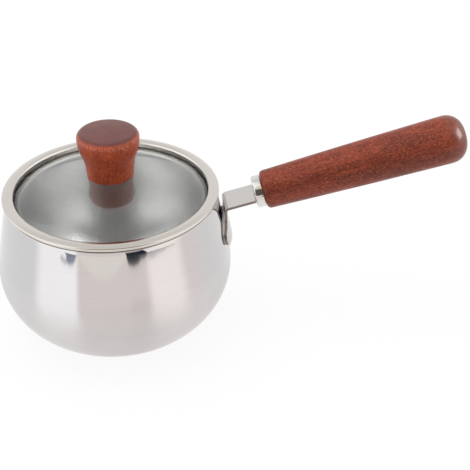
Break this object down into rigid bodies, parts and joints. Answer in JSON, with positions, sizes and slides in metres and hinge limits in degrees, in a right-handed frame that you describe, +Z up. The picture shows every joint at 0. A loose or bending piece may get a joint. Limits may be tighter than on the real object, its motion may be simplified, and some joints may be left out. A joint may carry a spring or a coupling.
{
  "type": "milk pan",
  "caption": "Round-bellied steel milk pan with a narrowed neck, a rising wooden handle on a bent steel bracket, and a domed glass lid with a steel ring and a flared wooden knob.",
  "frame": {"origin": "the middle of the flat base, on the surface that the pan stands on", "axes": "+Z up along the bowl's own axis, +X from that axis towards the handle, +Y to the left of the handle seen from above with the handle pointing away"},
  "size_m": [0.3111, 0.1566, 0.1444],
  "materials": {
    "pan_steel": "satin, fine level brushing, softly mirroring",
    "ring_steel": "satin polished",
    "bracket_steel": "satin polished, tumbled edges",
    "ferrule_steel": "polished",
    "hidden_steel": "bright turned",
    "insert_brass": "turned",
    "grip_wood": "red-brown, oiled, fine figured grain",
    "knob_wood": "red-brown, oiled, fine figured grain",
    "lid_glass": "clear, polished",
    "silicone": "matt, translucent grey"
  },
  "bodies": {
    "pan": {"pan_body": "pan_steel", "handle_bracket": "bracket_steel", "handle_ferrule": "ferrule_steel", "handle_stud": "hidden_steel", "handle_insert": "insert_brass", "handle_grip": "grip_wood"},
    "lid": {"lid_glass": "lid_glass", "lid_ring": "ring_steel", "lid_seal": "silicone", "lid_knob": "knob_wood", "knob_gasket": "silicone", "knob_bush": "silicone", "knob_washer": "hidden_steel", "knob_screw": "hidden_steel", "knob_insert": "insert_brass"}
  },
  "joints": [
    {"name": "lid_lift", "type": "slide", "parent": "pan", "child": "lid", "axis": [0, 0, 1], "range_m": [0, 0.12]}
  ]
}
